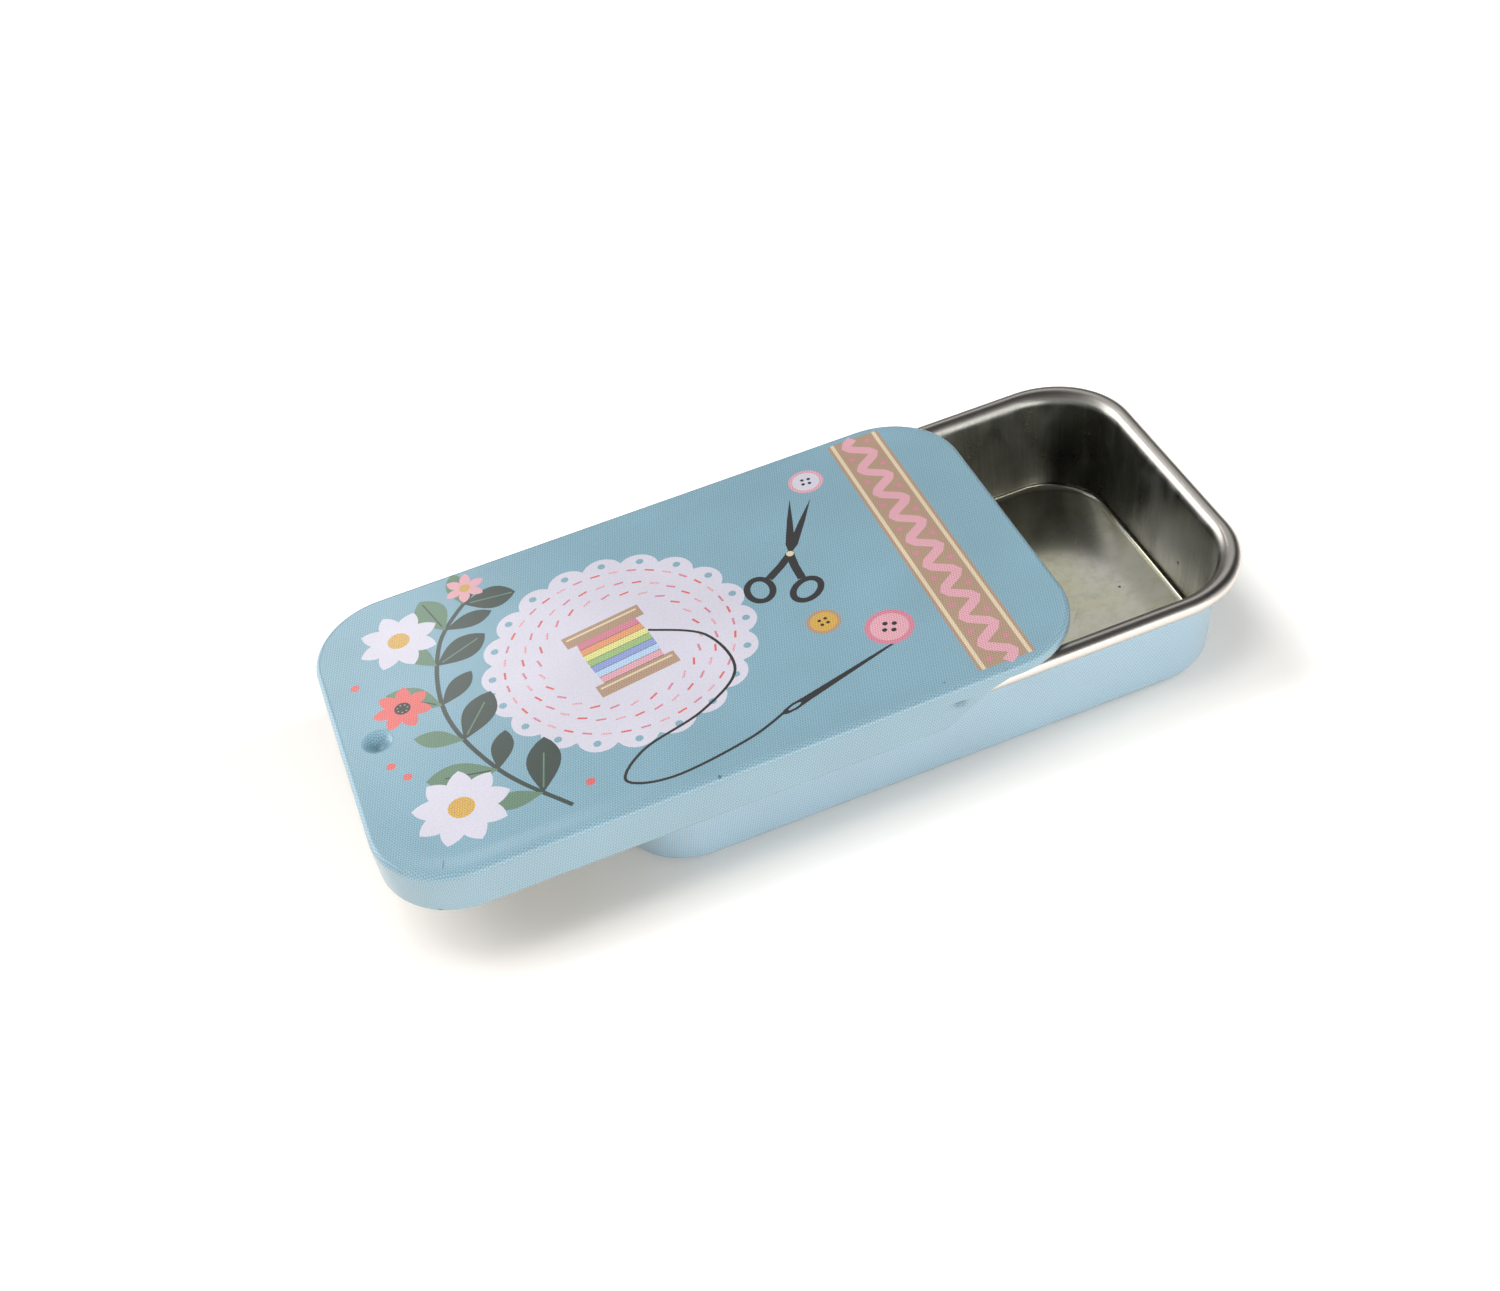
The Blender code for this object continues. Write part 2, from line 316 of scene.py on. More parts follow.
spray = {
    "stem": ((-14.2, -14.6), (-18.6, -8.0), (-21.0, 0.5), (-19.4, 9.0), (-15.0, 14.2)),
    "stemWidth": 0.4, "leafPlaces": (0.1, 0.24, 0.38, 0.52, 0.66, 0.8, 0.93),  # along the stem
    "leaf": (6.2, 2.9, 52), "backLeaf": (4.4, 1.9, 46), "shorter": 0.25,
    "vein": (0.6, 2.5, 4.4), "veinWidth": 0.14,
    "flowers": (
        # centre, radius, petals, petal ink, heart ink, turn
        ((-22.6, 11.2), 3.6, 8, "white", "mustard", 10),
        ((-24.2, 2.8), 2.6, 7, "coral", "black", 25),
        ((-22.4, -10.6), 4.1, 9, "white", "mustard", 0),
        ((-15.6, 15.0), 1.9, 6, "pink", "mustard", 15),
    ),
    "petalWidth": 0.52, "heart": 0.55, "seedRing": 0.17, "seed": 0.16,
    "berries": ((-26.6, -3.4), (-25.6, -5.2), (-27.4, 7.2), (-12.2, -12.9)), "berry": 0.8,
}


def printSpray():
    stem = curvePoints(spray["stem"])
    printLine("deepGreen", stem, spray["stemWidth"])
    length, width, lean = spray["leaf"]
    backLength, backWidth, backLean = spray["backLeaf"]
    for i, share in enumerate(spray["leafPlaces"]):
        at = round(share * (len(stem) - 1))
        foot, ahead = stem[at], stem[at + 1]
        heading = math.degrees(math.atan2(ahead[1] - foot[1], ahead[0] - foot[0]))
        side = 1 if i % 2 else -1
        ink, otherInk = ("sage", "deepGreen") if i % 2 else ("deepGreen", "sage")
        turn = heading + side * lean
        printLeaf(ink, foot, length - spray["shorter"] * i, width, turn)
        vein = [turned(reach, 0, turn, foot) for reach in spray["vein"]]
        printLine(otherInk, vein, spray["veinWidth"])
        printLeaf(otherInk, foot, backLength, backWidth, heading - side * backLean)
    for centre, radius, petals, petalInk, heartInk, turn in spray["flowers"]:
        for petal in range(petals):
            petalTurn = turn + 360 * petal / petals
            printLeaf(petalInk, centre, radius, radius * spray["petalWidth"], petalTurn)
        printOval(heartInk, centre, radius * spray["heart"], points=18)
        for seed in range(7):
            spot = turned(radius * spray["seedRing"], 0, 51 * seed, centre)
            printOval("tan", spot, spray["seed"], points=6)
    for spot in spray["berries"]:
        printOval("coral", spot, spray["berry"], points=12)


needle = {
    "thread": ((-2.6, 1.6), (1.6, -1.4), (2.4, -6.6), (-1.6, -9.8), (-7.2, -11.6),
               (-9.6, -14.2), (-6.0, -15.6), (0.8, -14.6), (4.9, -12.9)),
    "threadWidth": 0.26, "foot": (3.9, -13.4), "turn": 16,
    "edge": ((0, 0), (0.5, 0.3), (1.4, 0.42), (2.6, 0.34), (12.6, 0.08), (13.4, 0)),
    "eyeAt": 1.4, "eye": (1.3, 0.34),
}


def printNeedle():
    printLine("black", curvePoints(needle["thread"]), needle["threadWidth"])
    turn, foot, edge = needle["turn"], needle["foot"], needle["edge"]
    printShape("black", [*edge, *[(x, -y) for x, y in reversed(edge[1:-1])]], turn, foot)
    eyePlace = turned(needle["eyeAt"], 0, turn, foot)
    printOval("ground", eyePlace, *needle["eye"], turn, points=12)


spool = {
    "centre": (-5.5, 0.4), "width": 6.4, "height": 8.6, "flange": 1.5, "turn": 8,
    "threads": ("rose", "orange", "lime", "leaf", "lilac", "sky", "pink"),
    "wound": 0.82, "bulge": 0.35, "gap": 0.09,
    "flangeExtra": 0.9, "shineExtra": 0.3, "shineUp": 0.28, "shine": 0.22,
}


def printSpool():
    turn, centre, flange = spool["turn"], spool["centre"], spool["flange"]
    halfWidth, halfHeight = spool["width"] / 2, spool["height"] / 2
    band = (spool["height"] - 2 * flange) / len(spool["threads"])
    for i, ink in enumerate(spool["threads"]):
        top = halfHeight - flange - i * band
        sides = []
        for y in (top, top - band / 2, top - band):
            bulge = spool["bulge"] * math.cos(math.pi * y / (2 * halfHeight))
            sides.append((halfWidth * spool["wound"] + bulge, y))
        printShape(ink, [*reversed(sides), *[(-x, y) for x, y in sides]], turn, centre)
        printBar("black", turned(0, top - band, turn, centre), 2 * sides[2][0], spool["gap"], turn)
    for side in (1, -1):
        y = side * (halfHeight - flange / 2)
        length = spool["width"] + spool["flangeExtra"]
        printBar("tan", turned(0, y, turn, centre), length, flange, turn)
        shinePlace = turned(0, y + spool["shineUp"], turn, centre)
        printBar("cream", shinePlace, spool["width"] + spool["shineExtra"], spool["shine"], turn)


scissors = {
    "centre": (11.6, 4.6), "turn": 62, "pivot": 0.7,
    "ringPlace": (-4.6, 2.05), "ring": (3.5, 2.8), "ringHole": (2.3, 1.6), "ringTurn": 24,
    "neck": ((-3.2, 1.45), (-1.6, 0.62), (0.2, -0.1)), "neckWidth": 0.75,
    "blade": ((-0.2, 0.05), (1.2, -0.55), (4.4, -0.82), (7.4, -0.95), (4.4, -0.3), (1.2, 0.3)),
}


def printScissors():
    centre, turn = scissors["centre"], scissors["turn"]
    for side in (1, -1):
        x, y = scissors["ringPlace"]
        place, ringTurn = turned(x, side * y, turn, centre), turn + side * scissors["ringTurn"]
        printOval("black", place, *scissors["ring"], ringTurn)
        printOval("ground", place, *scissors["ringHole"], ringTurn)
        neck = [turned(x, side * y, turn, centre) for x, y in scissors["neck"]]
        printLine("black", neck, scissors["neckWidth"])
        printShape("black", [(x, side * y) for x, y in scissors["blade"]], turn, centre)
    printOval("cream", centre, scissors["pivot"], points=12)


ribbon = {
    "x": 22.4, "width": 5.0, "halfLength": 16.6, "hemInset": 0.45, "hem": 0.34,
    "waveLength": 3.4, "waveHeight": 0.95, "waveWidth": 0.95, "waveSteps": 8,
    "knot": 0.55, "knotAside": 1.15,
}


def printRibbon():
    x, half, steps = ribbon["x"], ribbon["halfLength"], ribbon["waveSteps"]
    printBar("tan", (x, 0), ribbon["width"], 2 * half, 0)
    for side in (-1, 1):
        hemX = x + side * (ribbon["width"] / 2 - ribbon["hemInset"])
        printBar("cream", (hemX, 0), ribbon["hem"], 2 * half, 0)
    waves = int(2 * half / ribbon["waveLength"])
    points = []
    for i in range(waves * steps + 1):
        aside = ribbon["waveHeight"] * math.sin(fullTurn * i / steps)
        points.append((x + aside, 2 * half * i / (waves * steps) - half))
    printLine("pink", points, ribbon["waveWidth"])
    for i in range(waves * 2):
        side = 1 if i % 2 else -1
        spot = (x + side * ribbon["knotAside"], (i + 0.5) * half / waves - half)
        printOval("rose", spot, ribbon["knot"], points=10)


buttons = {
    "places": (
        # centre, size, ink, rim ink, turn
        ((15.6, -8.2), 4.2, "pink", "rose", 20),
        ((11.0, -4.9), 3.0, "mustard", "tan", 50),
        ((16.4, 13.1), 3.2, "white", "pink", 35),
    ),
    "inside": 0.78, "holeRing": 0.13, "hole": 0.11,  # shares of the size
}


def printButtons():
    for centre, size, ink, rimInk, turn in buttons["places"]:
        printOval(rimInk, centre, size, points=32)
        printOval(ink, centre, size * buttons["inside"])
        for corner in range(4):
            spot = turned(size * buttons["holeRing"], 0, turn + 90 * corner, centre)
            printOval("black", spot, size * buttons["hole"], points=10)


for printMotif in (
        printLace, printSpray, printNeedle, printSpool, printScissors, printRibbon, printButtons):
    printMotif()
print("design drawn:", len(designShapes), "printed shapes")


def signedArea(outline):
    return sum(a.x * b.y - b.x * a.y for a, b in zip(outline, outline[1:] + outline[:1])) / 2


def layOutBlank():
    # Triangles of the blank, cut along every printed outline, with each triangle's ink
    points, lines, faces = [], [], []

    def addLine(line, closed=False):
        start = len(points)
        points.extend(line)
        lines.extend((i, i + 1) for i in range(start, len(points) - 1))
        if closed:
            lines.append((len(points) - 1, start))

    def onBlank(station, run):
        coreX, coreY, away = station
        return Vector((coreX, coreY)) + away * (plateRadius + run)

    stations = lidStations()
    ends = [lidEnd(x + away.x * lid["cornerRadius"]) for x, _, away in stations]
    outline = [onBlank(station, end) for station, end in zip(stations, ends)]
    for shape in [outline, *[shape for shape, _ in designShapes]]:
        ids = list(range(len(points), len(points) + len(shape)))
        points.extend(shape)
        faces.append(ids if signedArea(shape) > 0 else ids[::-1])

    foldSteps, dentSteps = lid["foldSteps"], lid["dentSteps"]
    curlSteps = lid["curlSteps"]
    curlStart = foldRun + straightRun
    runs = [-lid["panelSlope"] * share for share in lid["panelRings"]]
    runs += [foldRun * step / foldSteps for step in range(foldSteps + 1)]
    runs += [dentRun + lid["dentHeight"] * (i / dentSteps - 0.5) for i in range(dentSteps + 1)]
    runs += [foldRun + straightRun * share for share in lid["skirtRings"]]
    runs += [curlStart + (fullRun - curlStart) * step / curlSteps for step in range(curlSteps)]
    for run in runs:
        addLine([onBlank(station, run) for station in stations], True)
    for station, end in zip(stations, ends):
        reach = [run for run in runs if run < end - lid["shortestEdge"]] + [end]
        addLine([onBlank(station, run) for run in reach])
    rings, count = lid["dimpleRings"], lid["dimplePoints"]
    for ring in range(1, rings + 1):
        radius = lid["dimpleRadius"] * ring / rings * lid["dimpleReach"]
        place = (lid["dimpleX"], 0)
        addLine([Vector(turned(radius, 0, 360 * i / count, place)) for i in range(count)], True)
    reachX, reachY, gap = lid["panelGrid"]
    for x in range(-reachX, reachX + 1, gap):
        addLine([Vector((x, y)) for y in range(-reachY, reachY + 1, gap)])

    flatPoints, _, triangles, _, _, owners = delaunay_2d_cdt(
        points, lines, faces, 0, lid["mergeWithin"], True)
    kept = [(triangle, max(owner)) for triangle, owner in zip(triangles, owners) if 0 in owner]
    inks = [designShapes[top - 1][1] if top else "ground" for _, top in kept]
    return flatPoints, [triangle for triangle, _ in kept], inks


def storeSurface(mesh, inks, flat, **pointValues):
    # Each face's ink colour, with the share of the dot screen as its alpha
    layer = mesh.attributes.new("ink", "FLOAT_COLOR", "FACE")
    colours = [linearColour(inkColours[ink], screenShares.get(ink, 1.0)) for ink in inks]
    layer.data.foreach_set("color", [channel for colour in colours for channel in colour])
    # where each face corner lies on the flat sheet, in millimetres
    layer = mesh.uv_layers.new(name="sheetFlat")
    layer.data.foreach_set("uv", [distance for place in flat for distance in place])
    for name, values in pointValues.items():
        layer = mesh.attributes.new(name, "FLOAT", "POINT")
        layer.data.foreach_set("value", values)


def makeLid(printed, bare):
    flatPoints, triangles, inks = layOutBlank()
    used = sorted({i for triangle in triangles for i in triangle})
    order = {old: new for new, old in enumerate(used)}
    flat = [flatPoints[i] for i in used]
    triangles = [[order[i] for i in triangle] for triangle in triangles]
    count, half, nudge = len(flat), lid["sheet"] / 2, 0.01
    points = [onLid(u, v, lift) for lift in (half, -half) for u, v in flat]
    normals = []
    for u, v in flat:
        acrossU = onLid(u + nudge, v, half) - onLid(u - nudge, v, half)
        acrossV = onLid(u, v + nudge, half) - onLid(u, v - nudge, half)
        normals.append(acrossU.cross(acrossV).normalized())
    edges = {}
    for triangle in triangles:
        edges.update(dict.fromkeys(zip(triangle, triangle[1:] + triangle[:1])))
    border = [(a, b) for a, b in edges if (b, a) not in edges]
    faces = triangles + [[count + i for i in reversed(triangle)] for triangle in triangles]
    faces += [(b, a, count + a, count + b) for a, b in border]
    skin = addMesh("slide_lid_skin", [point * mm for point in points], faces, printed, bare)
    mesh = skin.data
    slots = [0] * len(triangles) + [1] * (len(triangles) + len(border))
    mesh.polygons.foreach_set("material_index", slots)
    runs = [blankFrame(u, v)[3] for u, v in flat] * 2
    storeSurface(
        mesh, inks + ["ground"] * (len(faces) - len(inks)),
        [flat[loop.vertex_index % count] for loop in mesh.loops],
        pastFold=runs, drawn=[0.5 if run > 0 else 0.1 for run in runs],
        rolled=[0.0] * 2 * count, frosted=[0.0] * 2 * count)
    mesh.shade_smooth()
    corners = []
    for polygon in mesh.polygons:
        for i in polygon.vertices:
            if len(polygon.vertices) == 4:
                corners.append(polygon.normal)
            else:
                corners.append(normals[i] if i < count else -normals[i - count])
    mesh.normals_split_custom_set(corners)
    low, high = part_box("slide_lid")
    skin.location = ((low.x + high.x) / 2, 0, high.z)
    print("lid:", len(triangles), "printed triangles")
    return skin


tray = {
    "length": 60.0, "width": 34.0, "height": 10.4, "cornerRadius": 7.9, "sheet": 0.25,
    "endDraft": 7.6, "sideDraft": 4.6, "footRadius": 0.9, "beadDiameter": 1.55, "beadEnd": -125,
    "flareRadius": 1.7, "flareTop": 136,  # the wall bends out more gently before it is rolled
    "cornerFollow": 0.6,
    # drawn walls wander between the stiff floor and the stiff rim
    "waveHeight": 0.05, "waveLength": 9.0, "waveUpright": 0.6, "rimBand": 1.5,
    "floorCrown": 0.07, "crownUneven": 0.6,
    "frostPlace": (27.0, -2.4, 4.2), "frostSize": (3.4, 2.8), "frostLean": 0.5,
    "cornerSteps": 22, "longStep": 1.4, "footSteps": 9, "wallSteps": 8, "flareSteps": 7,
    "beadSteps": 30, "floorRings": 9, "sharpFrom": 50,
    "floorAside": 100,  # the floor's layout lies this far from the walls'
}


def trayPath(draft):
    # Middle line of the sheet from the foot to the bead's tucked end, with its heading
    sheet, lean = tray["sheet"], math.radians(draft)
    beadRadius = tray["beadDiameter"] / 2
    path = []

    def addArc(centre, radius, start, end, steps, first=0):
        turn = 1 if end > start else -1
        for step in range(first, steps + 1):
            angle = start + (end - start) * step / steps
            point = (centre[0] + radius * math.cos(angle), centre[1] + radius * math.sin(angle))
            path.append((point, (-turn * math.sin(angle), turn * math.cos(angle))))

    middle = beadRadius - sheet / 2
    centre = (-beadRadius, tray["height"] - beadRadius)
    start, flareTop = math.pi - lean, math.radians(tray["flareTop"])
    flare = tray["flareRadius"] - sheet / 2
    back = flare - middle
    flareCentre = (centre[0] - back * math.cos(flareTop), centre[1] - back * math.sin(flareTop))
    wall = (flareCentre[0] + flare * math.cos(start), flareCentre[1] + flare * math.sin(start))
    heading = (math.sin(start), -math.cos(start))
    turn = tray["footRadius"] - sheet / 2
    drop = (tray["footRadius"] - turn * heading[0] - wall[1]) / heading[1]
    foot = (wall[0] + drop * heading[0] - turn * heading[1], tray["footRadius"])
    addArc(foot, turn, -quarterTurn, -lean, tray["footSteps"])
    low = path[-1][0]
    for step in range(1, tray["wallSteps"]):
        share = step / tray["wallSteps"]
        path.append((tuple(a + (b - a) * share for a, b in zip(low, wall)), heading))
    addArc(flareCentre, flare, start, flareTop, tray["flareSteps"])
    end = math.radians(tray["beadEnd"])
    addArc(centre, middle, flareTop, end, tray["beadSteps"], 1)
    return path


def frostShare(point):
    # Patch of the end wall that the drawing punch has frosted, from the foot up towards the rim; it
    # is rougher, and painted lighter as a painted highlight
    place, size = tray["frostPlace"], tray["frostSize"]
    if point.x < place[0]:
        return 0.0
    lean = point.y - place[1] + tray["frostLean"] * (point.z - place[2])
    return math.exp(-(lean / size[0]) ** 2 - ((point.z - place[2]) / size[1]) ** 2)


def trayStations():
    # Side signs, corner angle and place along the straight side, counter-clockwise
    stations = []
    for quarter, (sideX, sideY) in enumerate(cornerSides):
        for step in range(tray["cornerSteps"] + 1):
            angle = quarterTurn * (quarter + step / tray["cornerSteps"])
            stations.append((sideX, sideY, angle, 0))
        straight = tray["length"] if quarter % 2 == 0 else tray["width"]
        pieces = int(straight / tray["longStep"])
        for step in range(1, pieces):
            stations.append((sideX, sideY, quarterTurn * (quarter + 1), step / pieces))
    return stations


def trayPoint(station, end, side):
    # A place on the ring through this point of the end walls' section and of the side walls'
    sideX, sideY, angle, along = station
    halfX = tray["length"] / 2 + end[0]
    halfY = tray["width"] / 2 + side[0]
    radius = tray["cornerRadius"] + tray["cornerFollow"] * (end[0] + side[0]) / 2
    awayX, awayY = math.cos(angle), math.sin(angle)
    x = sideX * (halfX - radius) + radius * awayX
    y = sideY * (halfY - radius) + radius * awayY
    z = end[1] * awayX ** 2 + side[1] * awayY ** 2
    if along and abs(awayY) > 0.5:
        x -= 2 * along * sideX * (halfX - radius)
    elif along:
        y -= 2 * along * sideY * (halfY - radius)
    level = min(max(z / (tray["height"] - tray["rimBand"]), 0), 1)
    wave = noise.noise(Vector((x, y, z * tray["waveUpright"])) / tray["waveLength"])
    shift = tray["waveHeight"] * math.sin(math.pi * level) * wave
    return Vector((x + awayX * shift, y + awayY * shift, z))


def makeTray(printed, bare):
    half = tray["sheet"] / 2
    endPath, sidePath = trayPath(tray["endDraft"]), trayPath(tray["sideDraft"])
    stations = trayStations()
    count, rows = len(stations), len(endPath)
    lengths = [0.0]
    for (a, _), (b, _) in zip(sidePath, sidePath[1:]):
        lengths.append(lengths[-1] + math.hypot(b[0] - a[0], b[1] - a[1]))
    vertices, drawn, rolled = [], [], []
    for lift in (half, -half):
        for row in range(rows):
            end, side = [
                (point[0] - along[1] * lift, point[1] + along[0] * lift)
                for point, along in (endPath[row], sidePath[row])
            ]
            vertices += [trayPoint(station, end, side) for station in stations]
            isRim = row >= rows - tray["beadSteps"] - tray["flareSteps"] / 2
            isWall = row >= tray["footSteps"] and not isRim
            drawn += [float(isWall)] * count
            rolled += [float(isRim)] * count
    rims = [0.0]
    middle = vertices[rows // 2 * count:(rows // 2 + 1) * count]
    for a, b in zip(middle, middle[1:] + middle[:1]):
        rims.append(rims[-1] + (a - b).length)
    faces, slots, flat = [], [], []

    def addFace(corners, flip, slot):
        # a corner is a vertex and its place on the flat sheet
        corners = corners[::-1] if flip else corners
        faces.append([vertex for vertex, _, _ in corners])
        flat.extend(corner[1:] for corner in corners)
        slots.append(slot)

    def addBand(first, second, flip, slot, low, high):
        for i in range(count):
            j, left, right = (i + 1) % count, rims[i], rims[i + 1]
            addFace([(first + i, left, low), (first + j, right, low), (second + j, right, high),
                     (second + i, left, high)], flip, slot)

    def addFlat(ids, flip, slot):
        aside = tray["floorAside"]
        addFace([(i, vertices[i].x, vertices[i].y + aside) for i in ids], flip, slot)

    for row in range(rows - 1):
        run, nextRun = lengths[row], lengths[row + 1]
        addBand(row * count, (row + 1) * count, True, 1, run, nextRun)
        addBand((rows + row) * count, (rows + row + 1) * count, False, 0, run, nextRun)
    last = lengths[-1] + tray["sheet"]
    addBand((rows - 1) * count, (2 * rows - 1) * count, True, 1, lengths[-1], last)
    for start, flip, slot in ((0, False, 1), (rows * count, True, 0)):
        border = vertices[start:start + count]
        outer = start
        for ring in range(1, tray["floorRings"] + 1):
            share = 1 - ring / (tray["floorRings"] + 1)
            inner = len(vertices)
            for point in border:
                x, y = point.x * share, point.y * share
                wave = noise.noise(Vector((x, y, 1)) / tray["waveLength"])
                crown = tray["floorCrown"] * (1 - share ** 2)
                z = point.z + crown * (1 + tray["crownUneven"] * wave)
                vertices.append(Vector((x, y, z)))
            for i in range(count):
                j = (i + 1) % count
                addFlat([outer + i, outer + j, inner + j, inner + i], flip, slot)
            outer = inner
        addFlat(list(range(outer, outer + count)), flip, slot)
    onFloor = [0.0] * (len(vertices) - len(drawn))
    skin = addMesh("tray_skin", [vertex * mm for vertex in vertices], faces, printed, bare)
    skin.data.polygons.foreach_set("material_index", slots)
    storeSurface(
        skin.data, ["trayGround"] * len(faces), flat,
        drawn=drawn + onFloor, rolled=rolled + onFloor,
        frosted=[frostShare(vertex) for vertex in vertices], pastFold=[100.0] * len(vertices))
    skin.data.shade_smooth()
    skin.data.set_sharp_from_angle(angle=math.radians(tray["sharpFrom"]))
    print("tray:", len(faces), "faces")
    return skin


specks = {"cell": 7.0, "printCell": 9.0, "size": 0.12, "chance": 0.5}  # one in every other cell


def addSpecks(add, flat, cell):
    # Fine dark specks, one in some of the cells of a scattered pattern
    edge = specks["size"] / cell
    cells = add("TexVoronoi", {"Vector": flat, "Scale": 1 / cell})
    spot = add("MapRange", [cells, edge, 0.5 * edge])
    draw = add("SeparateColor", [cells.outputs["Color"]])
    chosen = add("Math", [draw, specks["chance"]], operation="GREATER_THAN")
    return add("Math", [spot, chosen], operation="MULTIPLY")


tinplateLook = {
    "bright": "#D2D0C8", "warm": "#CFCCB2", "stain": "#B9B89F", "rim": "#D4CFC8",
    # the first two colours below are the walls' painted shade, darker than the floor and lighter in
    # smears; the third is a painted highlight on the frosted patch
    "drawnDull": "#BCBCB6", "drawnDark": "#A2A29C", "frosted": "#C4C4C0", "speck": "#3A3832",
    "roughness": 0.13, "rimRoughness": 0.29, "drawnRoughness": 0.23, "haze": 0.14, "frost": 0.14,
    "blotchRough": 0.10, "scratchRough": 0.1, "scratchDark": 0.3, "scratchDeep": -0.25,
    "bump": 0.5, "bumpDepth": 0.006,
    "patterns": (
        # scale along and up the flat sheet, detail, roughness, distortion
        ((1 / 0.35, 0.1, 1), 4.0, 0.5, 0.0),  # draw lines, 0.35 mm apart so that they show
        ((0.30, 0.18, 1), 3.0, 0.5, 0.6),  # smears 3 to 6 mm across
        ((1 / 7, 1 / 7, 1), 4.0, 0.55, 0.0),  # clouds of 7 mm
        ((0.8, 0.8, 0.8), 7.0, 0.65, 0.0),  # blotches of 1.25 mm
    ),
    "toneRanges": (
        # warm, stained, smeared and streaked: pattern from and to, share from and to
        (0.35, 0.62, 0, 1), (0.45, 0.8, 0, 0.8), (0.36, 0.66, 0, 1), (0.3, 0.7, -0.35, 0.35)),
    "hazeRange": (0.4, 0.65),
    "scratchTurns": ((12, 0), (68, 40), (127, 80)),  # angle, and place in the pattern
    "scratchScale": (0.2, 1 / 0.10, 1), "scratchRange": (0.72, 0.80),  # 5 mm long, 0.1 mm apart
    "flecks": (((22.87, -2.1, 0.3), 0.17), ((27.4, -4.67, 3.15), 0.2)),  # place and radius
}


def makeBareTinplate():
    # Rolled tinplate, deep drawn and left bare: a warm, faintly stained mirror on the floor, a
    # satin one on the rolled rim, and walls frosted by the draw so that they smear what they show
    look = tinplateLook
    material, add = newMaterial("drawn_tinplate")
    flat = add("UVMap", uv_map="sheetFlat")
    drawn, rolled, frosted = [
        add("Attribute", attribute_name=name).outputs["Fac"]
        for name in ("drawn", "rolled", "frosted")
    ]
    patterns = []
    for scale, detail, roughness, distortion in look["patterns"]:
        stretched = add("Mapping", {"Vector": flat, "Scale": scale})
        patterns.append(add("TexNoise", {
            "Vector": stretched, "Scale": 1.0, "Detail": detail, "Roughness": roughness,
            "Distortion": distortion}))
    lines, smear, cloud, blotch = patterns

    # how much of each tone shows
    warmShare, stainShare, smearShare, streaks = [
        add("MapRange", [pattern, *span])
        for pattern, span in zip((cloud, blotch, smear, lines), look["toneRanges"])
    ]
    smeared = add("Math", [smearShare, streaks], operation="ADD", use_clamp=True)
    # the walls are painted darker than the floor: painted shade
    floorTone, wallTone = look["bright"], look["drawnDark"]
    for share, tone in ((warmShare, "warm"), (stainShare, "stain"), (rolled, "rim")):
        floorTone = add("Mix", {0: share, 6: floorTone, 7: look[tone]}, data_type="RGBA")
    # smears are lighter, and the frosted patch is lighter still: a painted highlight
    for share, tone in ((smeared, "drawnDull"), (frosted, "frosted")):
        wallTone = add("Mix", {0: share, 6: wallTone, 7: look[tone]}, data_type="RGBA")
    tone = add("Mix", {0: drawn, 6: floorTone, 7: wallTone}, data_type="RGBA")

    # hairline scratches in three directions, drawn coarser than real ones so that they show
    scratches = 0.0
    for angle, place in look["scratchTurns"]:
        across = add("VectorRotate", {
            "Vector": flat, "Angle": math.radians(angle)}, rotation_type="Z_AXIS")
        fine = add("Mapping", {
            "Vector": across, "Location": (place, place, 0), "Scale": look["scratchScale"]})
        hair = add("TexNoise", {"Vector": fine, "Scale": 1.0, "Detail": 1.0})
        mark = add("MapRange", [hair, *look["scratchRange"]])
        scratches = add("Math", [scratches, mark], operation="MAXIMUM")

    # dark flecks: scattered ones on the floor and rim, and two larger ones
    plain = add("Math", [1.0, drawn], operation="SUBTRACT")
    scattered = addSpecks(add, flat, specks["cell"])
    onPlain = add("Math", [scattered, plain], operation="MULTIPLY")
    faint = add("Math", [scratches, look["scratchDark"]], operation="MULTIPLY")
    dark = add("Math", [onPlain, faint], operation="MAXIMUM")
    place = add("TexCoord").outputs["Object"]
    for centre, radius in look["flecks"]:
        away = add("VectorMath", [place, Vector(centre) * mm], operation="DISTANCE")
        fleck = add("MapRange", [away, radius * mm, radius * 0.5 * mm])
        dark = add("Math", [dark, fleck], operation="MAXIMUM")
    spotted = add("Mix", {0: dark, 6: tone, 7: look["speck"]}, data_type="RGBA")

    floorRough = add("MapRange", [rolled, 0, 1, look["roughness"], look["rimRoughness"]])
    low, high = look["hazeRange"]
    haze = add("MapRange", [
        smear, low, high, look["drawnRoughness"], look["drawnRoughness"] + look["haze"]])
    wallRough = add("Math", [frosted, look["frost"], haze], operation="MULTIPLY_ADD")
    rough = add("Mix", {0: drawn, 2: floorRough, 3: wallRough})
    for pattern, share in ((blotch, look["blotchRough"]), (scratches, look["scratchRough"])):
        rough = add("Math", [pattern, share, rough], operation="MULTIPLY_ADD")
    height = add("Math", [lines, drawn], operation="MULTIPLY")
    height = add("Math", [scratches, look["scratchDeep"], height], operation="MULTIPLY_ADD")
    bump = add("Bump", {
        "Height": height, "Strength": look["bump"], "Distance": look["bumpDepth"] * mm})
    shader = add("BsdfPrincipled", {
        "Base Color": spotted, "Metallic": 1.0, "Roughness": rough, "Normal": bump})
    add("OutputMaterial", [shader])
    return material


